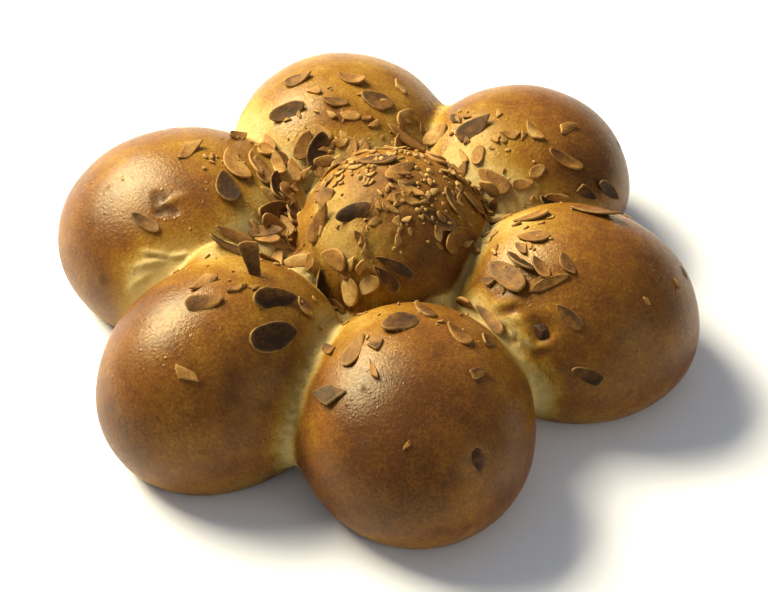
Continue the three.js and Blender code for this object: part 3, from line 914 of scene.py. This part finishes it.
# Colours of the crust by its browning, of the almonds by their toast and of the raisins by their wrinkles.
CRUST_COLOURS = (
    (0.0, (0.41, 0.308, 0.122)),
    (0.25, (0.345, 0.213, 0.045)),
    (0.5, (0.240, 0.116, 0.0140)),
    (0.72, (0.158, 0.0615, 0.0115)),
    (1.0, (0.076, 0.0290, 0.0095)),
)
PORE_COLOUR = (0.06, 0.023, 0.008)
MARK_COLOUR = (0.04, 0.016, 0.007)
CRUST_SHINE = (1.0, 0.94, 0.6, 1.0)
ALMOND_COLOURS = (
    (0.0, (0.42, 0.27, 0.088)),
    (0.25, (0.29, 0.142, 0.033)),
    (0.5, (0.165, 0.072, 0.0165)),
    (0.75, (0.072, 0.031, 0.0100)),
    (1.0, (0.024, 0.0125, 0.0075)),
)
RIM_COLOUR = (0.36, 0.205, 0.062)
ALMOND_SHINE = (1.0, 0.85, 0.5, 1.0)
# The raisins are darker in their wrinkles' furrows, as painted shade, and lighter on the ridges, as painted
# light.
RAISIN_COLOURS_AND_PAINTED_SHADE = ((0.0, (0.024, 0.011, 0.006)), (0.6, (0.058, 0.026, 0.012)), (1.0, (0.115, 0.055, 0.024)))
FLOOR_COLOURS = ((0.0, (0.83, 0.86, 0.92)), (1.0, (0.86, 0.89, 0.95)))


def crust_material():
    """Egg-washed crust: pale dough in the creases, gold to deep brown on the balls, pored like peel."""
    crust = Shader("crust")
    # The browning carries painted shade and painted light in places, as well as the oven's browning.
    brown = crust.attribute("brown")
    mottle = crust.span(crust.noise(190, 5, 0.7), 0.3, 0.7, -0.09, 0.09)
    speck = crust.span(crust.noise(850, 3, 0.65), 0.3, 0.7, -0.13, 0.13)
    level = crust.math("ADD", crust.math("ADD", brown, mottle), speck, clamp=True)
    colour = crust.ramp(level, CRUST_COLOURS)
    pore = crust.span(crust.noise(1500, 2, 0.6), 0.66, 0.74)
    colour = crust.mix(crust.math("MULTIPLY", pore, 0.35), colour, PORE_COLOUR)
    colour = crust.mix(crust.attribute("mark"), colour, MARK_COLOUR)
    washed = crust.span(crust.noise(420, 3, 0.6), 0.3, 0.7, 0.2, 0.27)
    roughness = crust.math("ADD", washed, crust.math("MULTIPLY", crust.attribute("matt"), 0.4))
    pimple = crust.node("ShaderNodeTexVoronoi", {"Vector": crust.place, "Scale": 330.0}).outputs["Distance"]
    patch = crust.span(crust.noise(90, 2), 0.5, 0.65)
    blister = crust.math("MULTIPLY", crust.span(pimple, 0.28, 0.08), patch)
    raised = crust.bump(blister, 0.0005, 0.5)
    peel = crust.bump(crust.noise(800, 4, 0.6), 0.0004, 0.6, raised)
    fine = crust.bump(crust.noise(2600, 2, 0.6), 0.00015, 0.35, peel)
    crust.plug(Base_Color=colour, Roughness=roughness, Normal=fine)
    facing = crust.node("ShaderNodeLayerWeight", {"Blend": 0.5}).outputs["Facing"]
    shine = crust.span(facing, 0.42, 0.8, 0.16, 0.025)
    crust.plug(Specular_IOR_Level=shine, Specular_Tint=CRUST_SHINE)
    return crust.material


def almond_material():
    """Toasted almond slices: the face by how toasted it is, a lighter rim, fine grain along the slice."""
    almond = Shader("almond")
    toast = almond.attribute("toast")
    across = almond.math("MULTIPLY", almond.attribute("grain"), 6.0)
    along = almond.math("MULTIPLY", almond.attribute("length"), 1.4)
    strip = almond.node("ShaderNodeCombineXYZ", {"X": across, "Y": along}).outputs["Vector"]
    streak = almond.span(almond.noise(3.0, 3, 0.6, strip), 0.3, 0.7, -0.10, 0.10)
    mottle = almond.span(almond.noise(260, 4, 0.65), 0.3, 0.7, -0.17, 0.17)
    level = almond.math("ADD", almond.math("ADD", toast, streak), mottle, clamp=True)
    face = almond.ramp(level, ALMOND_COLOURS)
    patch = almond.span(almond.noise(230, 3, 0.6), 0.35, 0.65, 0.2, 0.9)
    rim = almond.math("MULTIPLY", almond.attribute("rim"), patch)
    colour = almond.mix(rim, face, RIM_COLOUR)
    uneven = almond.bump(almond.noise(900, 3, 0.6), 0.0004, 0.5)
    roughness = almond.span(almond.noise(500), 0.3, 0.7, 0.55, 0.7)
    almond.plug(Base_Color=colour, Roughness=roughness, Normal=uneven)
    almond.plug(Specular_IOR_Level=0.15, Specular_Tint=ALMOND_SHINE)
    return almond.material


def raisin_material():
    """Dark wrinkled raisin skin, with painted shade in the furrows and painted light on the ridges."""
    raisin = Shader("raisin")
    fold = raisin.span(raisin.attribute("wrinkle"), 0.85, 1.15)
    colour = raisin.ramp(fold, RAISIN_COLOURS_AND_PAINTED_SHADE)
    roughness = raisin.span(raisin.noise(900), 0.3, 0.7, 0.5, 0.7)
    uneven = raisin.bump(raisin.noise(1300, 3), 0.0005, 0.6)
    raisin.plug(Base_Color=colour, Roughness=roughness, Normal=uneven, Specular_IOR_Level=0.1)
    return raisin.material


def floor_material():
    """Plain matt white card."""
    card = Shader("floor")
    shade = card.span(card.noise(3, 2), 0.3, 0.7)
    card.plug(Base_Color=card.ramp(shade, FLOOR_COLOURS), Roughness=0.9, Specular_IOR_Level=0.1)
    return card.material


FLOOR_REACH = 4000


def make_floor():
    """A broad level sheet under the cake."""
    signs = ((-1, -1), (1, -1), (1, 1), (-1, 1))
    corners = [(x * FLOOR_REACH, y * FLOOR_REACH, 0.0) for x, y in signs]
    floor = link("floor", corners, [(0, 1, 2, 3)], {})
    floor.data.materials.append(floor_material())


# The photo's view: degrees above the table, focal length in pixels of a picture 768 wide, distance, roll,
# and the point of the table in the middle of the picture.
VIEW_ELEVATION = 42
VIEW_FOCAL_PX = 1584
VIEW_DISTANCE = 680
VIEW_ROLL = -1
VIEW_AIM = (6.1, 10.5, 0.0)
PICTURE_WIDTH_PX = 768
SENSOR_WIDTH = 36


def make_camera():
    """The camera where the photo was taken from."""
    lift = math.radians(VIEW_ELEVATION)
    roll = math.radians(VIEW_ROLL)
    back = Vector((0, -math.cos(lift), math.sin(lift)))
    right = Vector((1, 0, 0))
    up = Vector((0, math.sin(lift), math.cos(lift)))
    turned_right = right * math.cos(roll) + up * math.sin(roll)
    turned_up = up * math.cos(roll) - right * math.sin(roll)
    data = bpy.data.cameras.new("camera")
    data.sensor_fit = "HORIZONTAL"
    data.sensor_width = SENSOR_WIDTH
    data.lens = SENSOR_WIDTH * VIEW_FOCAL_PX / PICTURE_WIDTH_PX
    camera = bpy.data.objects.new("camera", data)
    place = Matrix((turned_right, turned_up, back)).transposed().to_4x4()
    place.translation = (Vector(VIEW_AIM) + back * VIEW_DISTANCE) * MM
    camera.matrix_world = place
    bpy.context.scene.collection.objects.link(camera)
    bpy.context.scene.camera = camera


# Lights: bearing, elevation, distance, width and height in metres, power in watts, colour.
KEY = (141, 42, 1.5, 1.0, 0.7, 86.0, (1.0, 0.90, 0.66))
WINDOW = (145, 40, 1.5, 1.0, 0.7, 28.0, (1.0, 0.97, 0.74))
CARD = (-38, 14, 1.2, 0.5, 0.5, 2.8, (1.0, 0.95, 0.8))
LIGHT_AIM = (0, 0, 0.03)
# The surround grows stronger from the horizon upwards.
SURROUND_COLOUR = (0.95, 0.98, 1.05, 1)
SURROUND_RISE = {"From Min": 0.05, "From Max": 0.5, "To Min": 0.16, "To Max": 0.29}


def make_light(name, row):
    """A soft oblong light that faces the middle of the cake."""
    bearing, elevation, distance, width, height, power, colour = row
    turn = math.radians(bearing)
    lift = math.radians(elevation)
    away = Vector((math.cos(lift) * math.cos(turn), math.cos(lift) * math.sin(turn), math.sin(lift)))
    data = bpy.data.lights.new(name, "AREA")
    data.shape = "RECTANGLE"
    data.size = width
    data.size_y = height
    data.energy = power
    data.color = colour
    light = bpy.data.objects.new(name, data)
    light.location = away * distance + Vector(LIGHT_AIM)
    light.rotation_euler = away.to_track_quat("Z", "Y").to_euler()
    bpy.context.scene.collection.objects.link(light)
    return light


def make_stage():
    """A white floor, a broad soft light behind on the left, a weak card in front and a dim surround."""
    make_floor()
    make_light("key", KEY)
    # The window only adds to the gloss.
    window = make_light("window", WINDOW)
    window.visible_diffuse = False
    make_light("card", CARD)
    world = bpy.data.worlds.new("studio")
    world.use_nodes = True
    tree = world.node_tree
    surround = tree.nodes["Background"]
    surround.inputs["Color"].default_value = SURROUND_COLOUR
    place = tree.nodes.new("ShaderNodeTexCoord")
    split = tree.nodes.new("ShaderNodeSeparateXYZ")
    shade = tree.nodes.new("ShaderNodeMapRange")
    for key, value in SURROUND_RISE.items():
        shade.inputs[key].default_value = value
    tree.links.new(place.outputs["Generated"], split.inputs["Vector"])
    tree.links.new(split.outputs["Z"], shade.inputs["Value"])
    tree.links.new(shade.outputs["Result"], surround.inputs["Strength"])
    bpy.context.scene.world = world
    bpy.context.scene.view_settings.view_transform = "Standard"


loaf = make_loaf()
loaf.data.materials.append(crust_material())
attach(loaf, "root")
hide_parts("cake")

almond = almond_material()
for piece in (make_flakes(), make_chips()):
    piece.data.materials.append(almond)
    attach(piece, "root")

raisins = make_raisins()
raisins.data.materials.append(raisin_material())
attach(raisins, "root")

make_stage()
make_camera()
